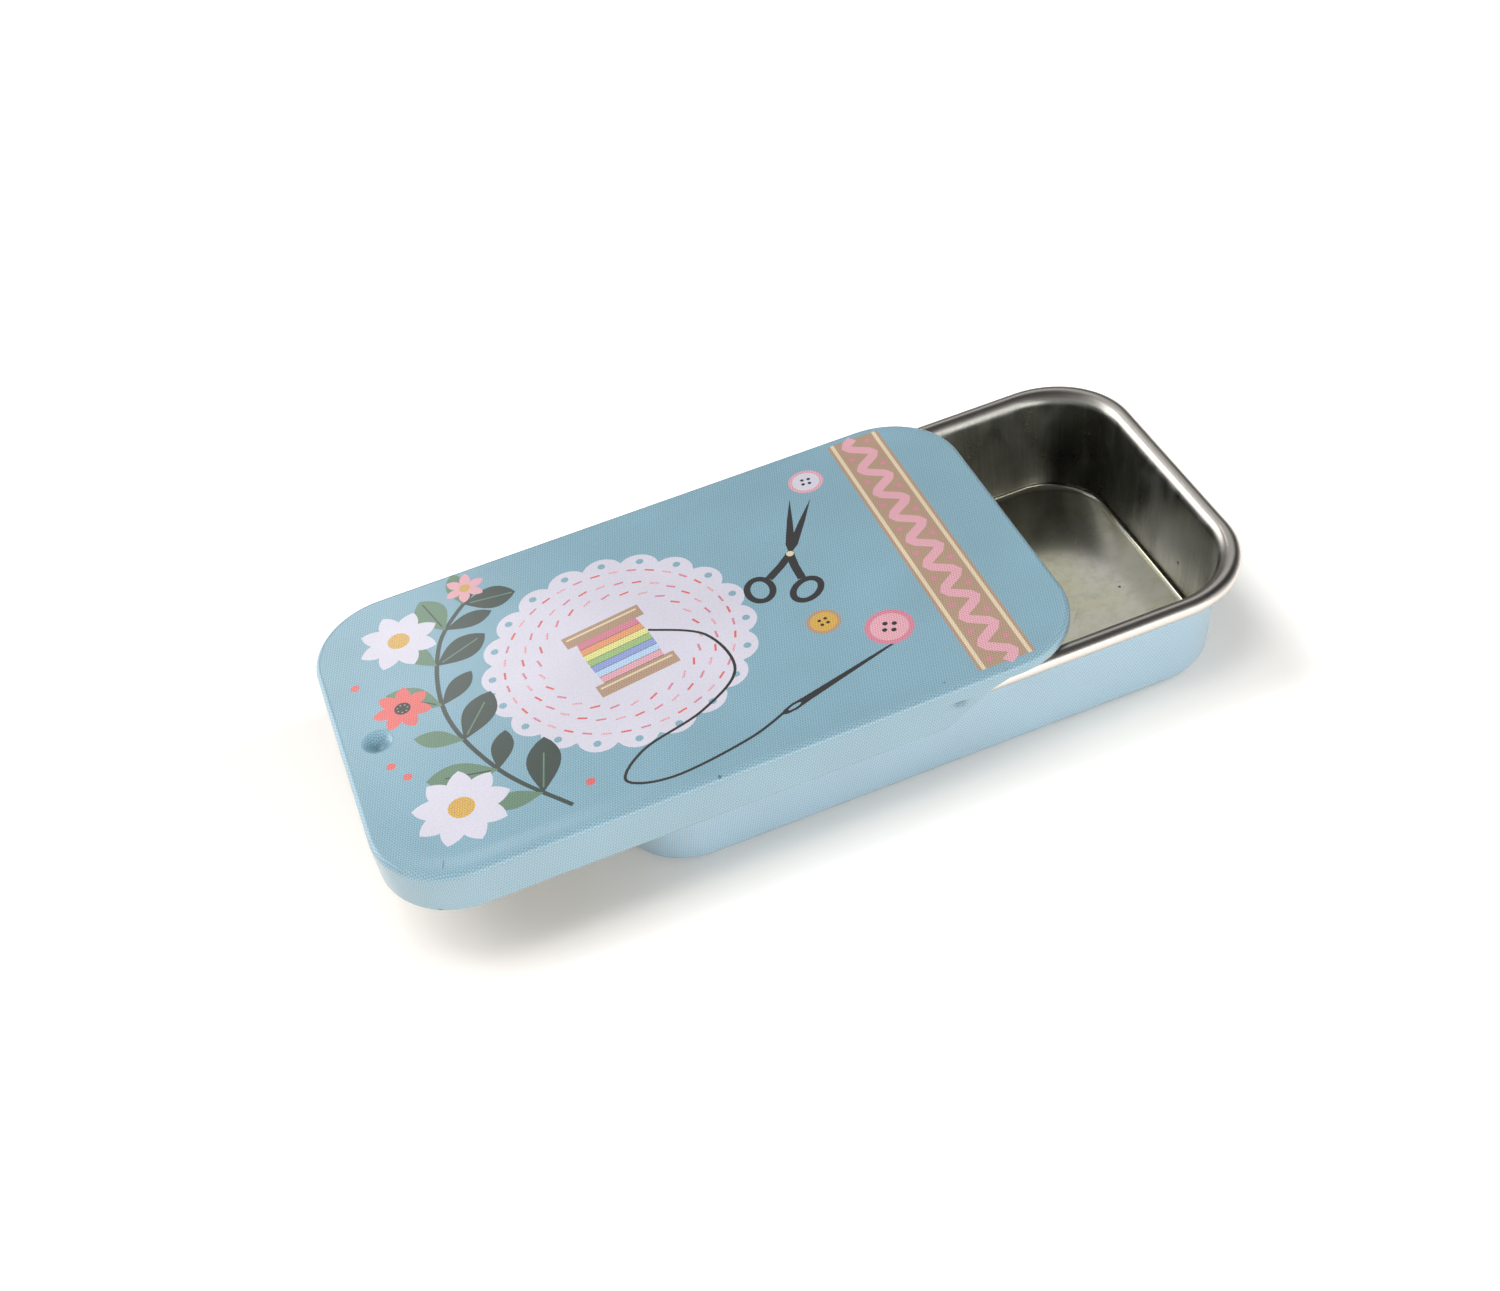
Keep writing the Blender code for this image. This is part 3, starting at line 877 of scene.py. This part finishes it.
printLook = {
    "dotPitch": 0.30,  # the real screen is near 0.18 mm, drawn coarser so that it shows
    "dotAngles": (15, 62), "dotStrength": 0.24,
    "unevenness": ((0.22, 1.0, 0.10), (11.0, 3.0, 0.14)),  # grain and clouds: mm, detail, strength
    # the last colour below marks knocks and scuffs, and is also the painted shade in the dimple and
    # at the dents
    "speck": "#2E3A40", "sheenWhite": "#F2F3F6", "tin": "#B9B8B0", "rubAndShade": "#4A6470",
    # painted sheen: the print past the fold and on the tray is mixed this much towards the
    # near-white above
    "paintedSheen": 0.09, "sheenReach": (-0.4, 0.9),
    "roughness": 0.42, "smoother": 0.06, "rougher": 0.08,
    "varnish": 0.85, "varnishRoughness": 0.2, "peel": 0.9, "peelBump": 0.4, "peelDepth": 0.012,
    "patchScale": 2.4, "patchRange": (0.3, 0.6), "shadeFull": 0.2,
    # painted shade in the dimple and at the dents
    "dimpleShade": (1.25, 0.5), "dentShade": (0.9, 0.75), "dentFlatter": 1.7,  # reach and strength
    "crest": 0.45,  # share of the fold's run
    "crestWidth": (0.14, 0.02), "wornScale": 0.9, "wornRange": (0.60, 0.66),
    "marks": (
        # place on the flat sheet, length, width, angle, strength
        ((-28.4, -19.6), 1.2, 0.4, -30, 0.85),
        ((-25.2, -15.8), 1.3, 0.2, 72, 0.6),
        ((17.2, -21.4), 2.6, 0.22, 42, 0.35),
        ((16.2, -21.9), 1.2, 0.2, 36, 0.25),
        ((-2.8, -17.3), 0.34, 0.3, 0, 0.9),
        ((16.9, -16.4), 0.26, 0.24, 0, 0.7),
    ),
}


def makePrintedTinplate():
    # Tinplate printed in a fine dot screen under clear stoving varnish: flat inks with a faint
    # weave of dots, a soft sheen, and bare metal glinting where the fold is worn
    look = printLook
    material, add = newMaterial("printed_tinplate")
    flat = add("UVMap", uv_map="sheetFlat")
    ink = add("Attribute", attribute_name="ink")
    pastFold = add("Attribute", attribute_name="pastFold").outputs["Fac"]
    screen = 0.0
    for angle in look["dotAngles"]:
        rotated = add("VectorRotate", {
            "Vector": flat, "Angle": math.radians(angle)}, rotation_type="Z_AXIS")
        axes = add("SeparateXYZ", [rotated])
        dots = 1.0
        for axis in (0, 1):
            phase = add("Math", [
                axes.outputs[axis], fullTurn / look["dotPitch"]], operation="MULTIPLY")
            wave = add("Math", [phase], operation="SINE")
            dots = add("Math", [dots, wave], operation="MULTIPLY")
        screen = add("Math", [screen, dots], operation="ADD")
    shown = add("Math", [screen, ink.outputs["Alpha"]], operation="MULTIPLY")
    tone = add("Math", [shown, look["dotStrength"], 1.0], operation="MULTIPLY_ADD")
    for size, detail, strength in look["unevenness"]:
        pattern = add("TexNoise", {"Vector": flat, "Scale": 1 / size, "Detail": detail})
        change = add("MapRange", [pattern, 0, 1, 1 - strength, 1 + strength])
        tone = add("Math", [tone, change], operation="MULTIPLY")
    printed = add("VectorMath", {0: ink, "Scale": tone}, operation="SCALE")

    # painted sheen: past the fold, down the skirts and on the tray the print is mixed a little
    # towards white
    start, end = look["sheenReach"]
    paintedSheen = add("MapRange", [pastFold, start, end, 0, look["paintedSheen"]], interpolation_type="SMOOTHSTEP")
    layers = [(addSpecks(add, flat, specks["printCell"]), "speck"), (paintedSheen, "sheenWhite")]

    # painted shade darkening the dimple and the two dents, in patches
    dimple = add("VectorMath", [flat, (lid["dimpleX"], 0, 0)], operation="DISTANCE")
    sides = add("SeparateXYZ", [flat])
    eitherSide = add("Math", [sides.outputs[1]], operation="ABSOLUTE")
    mirrored = add("CombineXYZ", [sides.outputs[0], eitherSide])
    dentPlace = (lid["dentX"], lidCoreY + plateRadius + dentRun, 0)
    toDent = add("VectorMath", [mirrored, dentPlace], operation="SUBTRACT")
    flatter = add("VectorMath", [toDent, (1, look["dentFlatter"], 1)], operation="MULTIPLY")
    dent = add("VectorMath", [flatter], operation="LENGTH")
    patchNoise = add("TexNoise", {"Vector": flat, "Scale": look["patchScale"], "Detail": 4.0})
    patchy = add("MapRange", [patchNoise, *look["patchRange"]])
    for distance, rubAndShade in ((dimple, look["dimpleShade"]), (dent, look["dentShade"])):
        near = add("MapRange", [
            distance, rubAndShade[0], look["shadeFull"], 0, rubAndShade[1]], interpolation_type="SMOOTHSTEP")
        share = add("Math", [near, patchy], operation="MULTIPLY")
        layers.append((share, "rubAndShade"))

    # a few scratches and knocks
    for place, length, width, angle, strength in look["marks"]:
        aside = add("VectorMath", [flat, (*place, 0)], operation="SUBTRACT")
        along = add("VectorRotate", {
            "Vector": aside, "Angle": -math.radians(angle)}, rotation_type="Z_AXIS")
        scaled = add("VectorMath", [along, (2 / length, 2 / width, 1)], operation="MULTIPLY")
        away = add("VectorMath", [scaled], operation="LENGTH")
        share = add("MapRange", [away, 1.0, 0.5, 0, strength])
        layers.append((share, "rubAndShade"))

    # the crest of the fold is worn through in short runs
    crest = add("Math", [pastFold, foldRun * look["crest"]], operation="SUBTRACT")
    offCrest = add("Math", [crest], operation="ABSOLUTE")
    onCrest = add("MapRange", [offCrest, *look["crestWidth"]])
    runs = add("TexNoise", {
        "Vector": flat, "Scale": look["wornScale"], "Detail": 6.0, "Roughness": 0.7})
    rubbed = add("MapRange", [runs, *look["wornRange"]])
    worn = add("Math", [onCrest, rubbed], operation="MULTIPLY")
    for share, colour in [*layers, (worn, "tin")]:
        printed = add("Mix", {0: share, 6: printed, 7: look[colour]}, data_type="RGBA")

    low, high = look["roughness"] - look["smoother"], look["roughness"] + look["rougher"]
    rough = add("MapRange", [patchNoise, 0, 1, low, high])
    peel = add("TexNoise", {"Vector": flat, "Scale": 1 / look["peel"], "Detail": 2.0})
    bump = add("Bump", {
        "Height": peel, "Strength": look["peelBump"], "Distance": look["peelDepth"] * mm})
    shader = add("BsdfPrincipled", {
        "Base Color": printed, "Metallic": worn, "Roughness": rough, "Normal": bump,
        "Coat Weight": look["varnish"], "Coat Roughness": look["varnishRoughness"]})
    add("OutputMaterial", [shader])
    return material


bareTinplate = makeBareTinplate()
printedTinplate = makePrintedTinplate()
lidSkin = makeLid(printedTinplate, bareTinplate)
traySkin = makeTray(printedTinplate, bareTinplate)
for piece, node, body, slot in (
        (lidSkin, "slide_lid", "lid", "lid_tinplate"), (traySkin, "tray", "tray", "tray_tinplate")):
    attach(piece, body)
    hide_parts(node)
print("pieces riding on their bodies")


studio = {
    "floorSize": 4.0, "floorColour": "#F8F4EF",
    # light of the floor's own, as seen: at the tin, then what is added within some millimetres of
    # it and of its lid's travel, and what is added far off
    # the low glow at the tin paints a shadow band hugging it and its lid's travel
    "floorLift": 0.07, "openLift": 0.50, "openDistance": 9.0, "farLift": 0.45, "farDistance": 350.0,
    "lidTravel": 44.4,
    "worldLight": 0.26,
    "lens": 49.49, "sensor": 36.0,
    "cardDistance": 0.62, "cardStep": 7,
    "softboxes": (
        # name, azimuth, elevation, distance, width, height, power
        ("back left softbox", 136, 18, 0.7, 0.62, 0.36, 1.25),
        ("high back softbox", 136, 38, 0.7, 0.35, 0.22, 0.36),
        ("glare softbox", 95.5, 40.5, 0.7, 0.10, 0.10, 0.125),
        ("low front softbox", 284, 13.5, 0.7, 0.80, 0.33, 1.36),
        ("front right softbox", 304, 27, 0.7, 0.26, 0.20, 0.07),
    ),
    "fills": (
        # name, place, aim, size, power
        ("left fill", (-0.135, 0.0, 0.155), (-0.03, 0, 0), 0.12, 0.145),
        ("right fill", (0.13, -0.06, 0.10), (0.035, -0.01, 0), 0.08, 0.052),
        ("top fill", (-0.07, -0.04, 0.42), (-0.02, 0, 0), 0.16, 0.44),
        ("front fill", (0.06, -0.5, 0.2), (0, 0, 0), 0.3, 0.78),
    ),
    "cards": (
        # name, azimuth from and to, elevation from and to, shade
        ("right_card", -22, 22, 0.5, 17, "#AAAAAA"),
        ("back_card", 22, 112, 0.5, 17, "#595959"),
        ("left_card", 158, 203, 0.5, 17, "#5E5E5E"),
        ("front_left_card", 203, 247, 0.5, 17, "#BCBCBC"),
        ("back_flag", -22, 90, 17, 34, "#161616"),
        ("low_back_flag", 90, 103, 17, 36, "#1E1E1E"),
        ("low_corner_flag", 103, 112, 17, 30, "#1E1E1E"),
        ("side_card", 157, 247, 17, 34, "#BCBCBC"),
        ("front_flag", 247, 292, 24, 34, "#262626"),
        ("front_right_card", 292, 338, 17, 34, "#CACACA"),
        ("right_flag", -30, 30, 34, 62, "#161616"),
        ("high_back_card", 30, 68, 34, 62, "#DCDCDC"),
        ("grey_back_card", 68, 90, 34, 62, "#C4C4C4"),
        ("glare_side_flag", 101, 103, 34, 44, "#1E1E1E"),
        ("corner_flag", 103, 122, 30, 40.5, "#1E1E1E"),
        ("upper_back_card", 90, 112, 44, 62, "#C4C4C4"),
        ("high_back_left_card", 112, 150, 48, 62, "#DADADA"),
        ("high_left_card", 150, 210, 34, 62, "#7F7F7F"),
        ("camera_flag", 210, 330, 34, 62, "#4A4A4A"),
        ("ceiling_flag", 0, 360, 62, 90, "#404040"),
    ),
}


def skyPlace(azimuth, elevation, distance):
    azimuth, elevation = math.radians(azimuth), math.radians(elevation)
    x, y = math.cos(azimuth) * math.cos(elevation), math.sin(azimuth) * math.cos(elevation)
    return Vector((x, y, math.sin(elevation))) * distance


def raysThatLook(add):
    # 1 for rays from the camera, and for those seen in gloss or through glass
    path = add("LightPath")
    seen = path.outputs["Is Camera Ray"]
    for name in ("Is Glossy Ray", "Is Transmission Ray"):
        seen = add("Math", [seen, path.outputs[name]], operation="MAXIMUM")
    return seen


def makeFloor():
    # White card: the camera and reflections also see some light of its own, more a few millimetres
    # away from the tin and its lid's travel, so that it shows white round the shadow
    material, add = newMaterial("white_card_floor")
    diffuse = add("BsdfDiffuse", [studio["floorColour"]])
    low, high = cadBox[0] - Vector((studio["lidTravel"] * mm, 0, 0)), cadBox[1]
    middle, half = (low + high) / 2, (high - low) / 2
    away = add("TexCoord").outputs["Object"]
    for operation, value in (
            ("SUBTRACT", (middle.x, middle.y, 0)), ("ABSOLUTE", (0, 0, 0)),
            ("SUBTRACT", (half.x, half.y, 0)), ("MAXIMUM", (0, 0, 0))):
        away = add("VectorMath", [away, value], operation=operation)
    distance = add("VectorMath", [away], operation="LENGTH")
    # the glow held low near the tin paints a shadow band round it
    openDistance, lowest = studio["openDistance"] * mm, studio["floorLift"]
    near = add("MapRange", [
        distance, 0.0, openDistance, lowest, lowest + studio["openLift"]],
        interpolation_type="SMOOTHSTEP")
    far = add("MapRange", [
        distance, openDistance, studio["farDistance"] * mm, 0, studio["farLift"]])
    lift = add("Math", [near, far], operation="ADD")
    strength = add("Math", [raysThatLook(add), lift], operation="MULTIPLY")
    glow = add("Emission", {"Strength": strength})
    both = add("AddShader", [diffuse, glow])
    add("OutputMaterial", [both])
    half = studio["floorSize"] / 2
    corners = [(-half, -half, 0), (half, -half, 0), (half, half, 0), (-half, half, 0)]
    addMesh("floor", corners, [(0, 1, 2, 3)], material)


def makeCard(name, start, end, low, high, shade):
    # Grey or black card on a stand, seen only in reflections: it shapes what the bright metal shows
    material, add = newMaterial(name)
    add("OutputMaterial", [add("Emission", [shade])])
    across = max(round((end - start) / studio["cardStep"]), 1)
    up = max(round((high - low) / studio["cardStep"]), 1)
    points = []
    for row in range(up + 1):
        for column in range(across + 1):
            azimuth = start + (end - start) * column / across
            elevation = low + (high - low) * row / up
            points.append(skyPlace(azimuth, elevation, studio["cardDistance"]))
    faces = []
    for row in range(up):
        for column in range(across):
            first = row * (across + 1) + column
            faces.append((first, first + 1, first + across + 2, first + across + 1))
    card = addMesh(name, points, faces, material)
    card.visible_camera = card.visible_diffuse = card.visible_shadow = False
    card.visible_transmission = False


def makeWorld():
    world = bpy.data.worlds.new("white studio")
    world.use_nodes = True
    world.node_tree.nodes.clear()
    add = partial(addNode, world.node_tree)
    strength = add("MapRange", [raysThatLook(add), 0, 1, studio["worldLight"], 1.0])
    background = add("Background", {"Strength": strength})
    add("OutputWorld", [background])
    world.cycles.sampling_method = "NONE"  # otherwise part of its light passes through the cards
    bpy.context.scene.world = world


def addLamp(name, place, aim, width, height, power):
    light = bpy.data.lights.new(name, "AREA")
    light.shape = "RECTANGLE"
    light.size, light.size_y = width, height
    light.energy = power
    lamp = addObject(name, light)
    lamp.location = place
    lamp.rotation_euler = (Vector(aim) - Vector(place)).to_track_quat("-Z", "Y").to_euler()
    lamp.visible_camera = False
    return lamp


def addLights():
    for name, azimuth, elevation, distance, width, height, power in studio["softboxes"]:
        addLamp(name, skyPlace(azimuth, elevation, distance), (0, 0, 0), width, height, power)
    for name, place, aim, size, power in studio["fills"]:
        fill = addLamp(name, place, aim, size, size, power)
        fill.visible_glossy = False  # lights the print without a second image of it in the metal


def addCamera():
    # Place and turn solved from the tin's edges in the photograph
    right = Vector((0.92772, -0.3418, -0.15001))
    up = Vector((0.34019, 0.6088, 0.71669))
    back = Vector((-0.15363, -0.71592, 0.68107))
    place = Vector((-38.681, -127.607, 128.67)) * mm
    data = bpy.data.cameras.new("camera")
    data.lens = studio["lens"]
    data.sensor_width = studio["sensor"]
    data.clip_start = 0.005
    camera = addObject("camera", data)
    rotation = Matrix((right, up, back)).transposed().to_4x4()
    camera.matrix_world = Matrix.Translation(place) @ rotation
    bpy.context.scene.camera = camera


makeFloor()
for card in studio["cards"]:
    makeCard(*card)
makeWorld()
addLights()
addCamera()
bpy.context.scene.view_settings.view_transform = "Standard"
print("studio ready")
